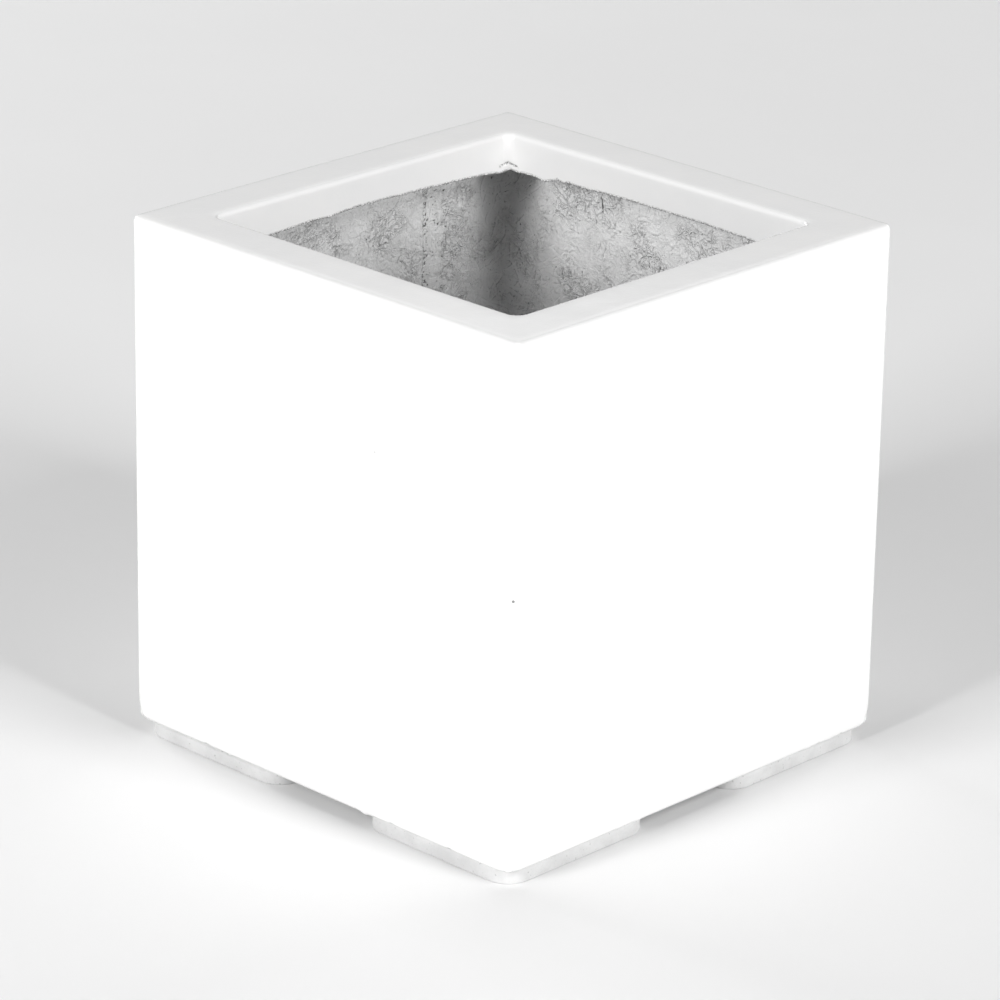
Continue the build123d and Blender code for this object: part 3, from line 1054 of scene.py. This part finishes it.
# ---- the pieces; places on a wall are (distance along it, level) in millimetres ----
build_wall(0, 101, stars=[((-20.0, 250.0), 16.0, 7)])
build_wall(1, 102, stars=[((30.0, 320.0), 14.0, 6)])
build_wall(
    2, 103,
    stars=[((-52.0, 318.0), 11.0, 5), ((44.0, 338.0), 9.0, 4)],
    chips=[((-30.0, 322.0), (-26.5, 331.0), 0.6, 1.3), ((-91.5, 372.0), (-90.0, 356.0), 0.6, 1.2),
           ((-97.0, 352.0), (-96.0, 347.0), 0.5, 0.9), ((-40.0, 327.0), (-38.0, 324.0), 0.5, 0.9)],
)
build_wall(3, 104, stars=[((62.0, 352.0), 10.0, 5), ((20.0, 343.0), 8.0, 4)])
build_corner_mat(0, 201)
build_corner_mat(1, 202)
build_corner_mat(
    2, 203, seam_pits=(330, 6), end_step=(0.35, -0.35),
    stars=[((151.0, 308.0), 19.0, 8), ((28.0, 320.0), 14.0, 6), ((143.0, 352.0), 9.0, 5)],
    folds=[
        ((98.0, 246.0), (116.0, 252.0), 0.3, 1.0, 0.6),
        ((104.0, 238.0), (128.0, 243.0), 0.35, 1.1, 0.6),
        ((120.0, 236.0), (133.0, 262.0), 0.2, 0.9, 0.5),
        ((84.0, 240.0), (98.0, 236.0), 0.3, 1.0, 0.5),
        ((132.0, 240.0), (152.0, 252.0), -0.2, 0.9, 0.45),
        ((70.0, 262.0), (84.0, 252.0), 0.2, 0.9, 0.4),
    ],
)
build_corner_mat(3, 204)
for side in range(4):
    build_tape(side, 301 + side)
build_floor_panel()
for corner in range(4):
    build_foot(corner, 401 + 20 * corner, GLUE_GAPS[corner])
build_bung()
for side in SIDES:
    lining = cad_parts[f"rim_laminate_{side}"]
    lining.data.materials.clear()
    lining.data.materials.append(laminate)

# ---- stage: floor, lights, camera ----
FLOOR_REACH = 14.0
FLOOR_LEVEL = -0.00005  # just under the pads, so that the two never share a face
around = ((-1, -1), (1, -1), (1, 1), (-1, 1))
corners = [(x * FLOOR_REACH, y * FLOOR_REACH, FLOOR_LEVEL) for x, y in around]
studio = bpy.data.meshes.new("floor")
studio.from_pydata(corners, [], [(0, 1, 2, 3)])
floor = bpy.data.objects.new("floor", studio)
bpy.context.scene.collection.objects.link(floor)
paper = Nodes("floor_paper")
paper.put(paper.shader.inputs["Base Color"], paper.mix(paper.noise(3.0), grey(0.80), grey(0.83)))
paper.shader.inputs["Roughness"].default_value = 0.9
# seen from below the floor is clear
below = paper.add("ShaderNodeBsdfTransparent").outputs[0]
one_sided = paper.add("ShaderNodeMixShader")
paper.put(one_sided.inputs[0], paper.add("ShaderNodeNewGeometry").outputs["Backfacing"])
paper.put(one_sided.inputs[1], paper.shader.outputs[0])
paper.put(one_sided.inputs[2], below)
paper.put(paper.tree.nodes["Material Output"].inputs["Surface"], one_sided.outputs[0])
floor.data.materials.append(paper.material)


def softbox(name, azimuth, elevation, distance, size, power):
    """A square soft light that looks at the object; azimuth 0 stands in front, 90 to the right."""
    a, e = math.radians(azimuth), math.radians(elevation)
    way = Vector((math.sin(a) * math.cos(e), -math.cos(a) * math.cos(e), math.sin(e)))
    lamp = bpy.data.lights.new(name, "AREA")
    lamp.shape = "SQUARE"
    lamp.size = size
    lamp.energy = power
    light = bpy.data.objects.new(name, lamp)
    light.location = Vector((0, 0, 0.2)) + way * distance
    light.rotation_euler = way.to_track_quat("Z", "Y").to_euler()
    bpy.context.scene.collection.objects.link(light)


softbox("key_left", 0, 21, 6.0, 1.6, 252)
softbox("high_left", 0, 38, 6.0, 1.6, 42)
softbox("key_right", 90, 15, 6.0, 1.6, 192)
softbox("high_right", 90, 38, 6.0, 1.6, 115)
softbox("edge_back", 180, 25, 5.0, 2.0, 44)
softbox("edge_left", 270, 25, 5.0, 2.0, 85)
softbox("behind", 225, 20, 4.0, 2.0, 7)


def backdrop_light(reach, height, size, power):
    """A soft light that hangs over the floor behind the object and shines straight down."""
    lamp = bpy.data.lights.new("backdrop", "AREA")
    lamp.shape = "SQUARE"
    lamp.size = size
    lamp.energy = power
    light = bpy.data.objects.new("backdrop", lamp)
    behind = math.radians(CAMERA_AZIMUTH + 180)
    light.location = Vector((math.sin(behind) * reach, -math.cos(behind) * reach, height))
    bpy.context.scene.collection.objects.link(light)


CAMERA_AZIMUTH, CAMERA_PITCH, CAMERA_ROLL = 44.03, 21.0, 0.971
backdrop_light(3.4, 2.0, 1.6, 5)
world = bpy.data.worlds.new("studio")
bpy.context.scene.world = world
world.use_nodes = True
world.node_tree.nodes["Background"].inputs["Color"].default_value = (1, 1, 1, 1)
world.node_tree.nodes["Background"].inputs["Strength"].default_value = 0.08
bpy.context.scene.view_settings.view_transform = "Standard"

# the camera: a long lens from the front right, a little tilted, as the photograph was taken
CAMERA_DISTANCE = 9.425 * 2 * HALF[0] * MM
CAMERA_OFFSET = (-0.0145 * 2 * HALF[0] * MM, -0.0426 * 2 * HALF[0] * MM)
LENS, SENSOR = 179.5, 36.0

a, e = math.radians(CAMERA_AZIMUTH), math.radians(CAMERA_PITCH)
back_way = Vector((math.sin(a) * math.cos(e), -math.cos(a) * math.cos(e), math.sin(e)))
right_way = Vector((math.cos(a), math.sin(a), 0))
up_way = back_way.cross(right_way)
target = Vector((0, 0, SKIN_BOTTOM * MM + HALF[0] * MM))
camera_data = bpy.data.cameras.new("camera")
camera_data.lens, camera_data.sensor_width = LENS, SENSOR
camera_data.clip_end = 100
camera = bpy.data.objects.new("camera", camera_data)
offset = right_way * CAMERA_OFFSET[0] + up_way * CAMERA_OFFSET[1]
place = target + back_way * CAMERA_DISTANCE + offset
facing = Matrix((right_way, up_way, back_way)).transposed().to_4x4()
roll = Matrix.Rotation(math.radians(CAMERA_ROLL), 4, "Z")
camera.matrix_world = Matrix.Translation(place) @ facing @ roll
bpy.context.scene.collection.objects.link(camera)
bpy.context.scene.camera = camera
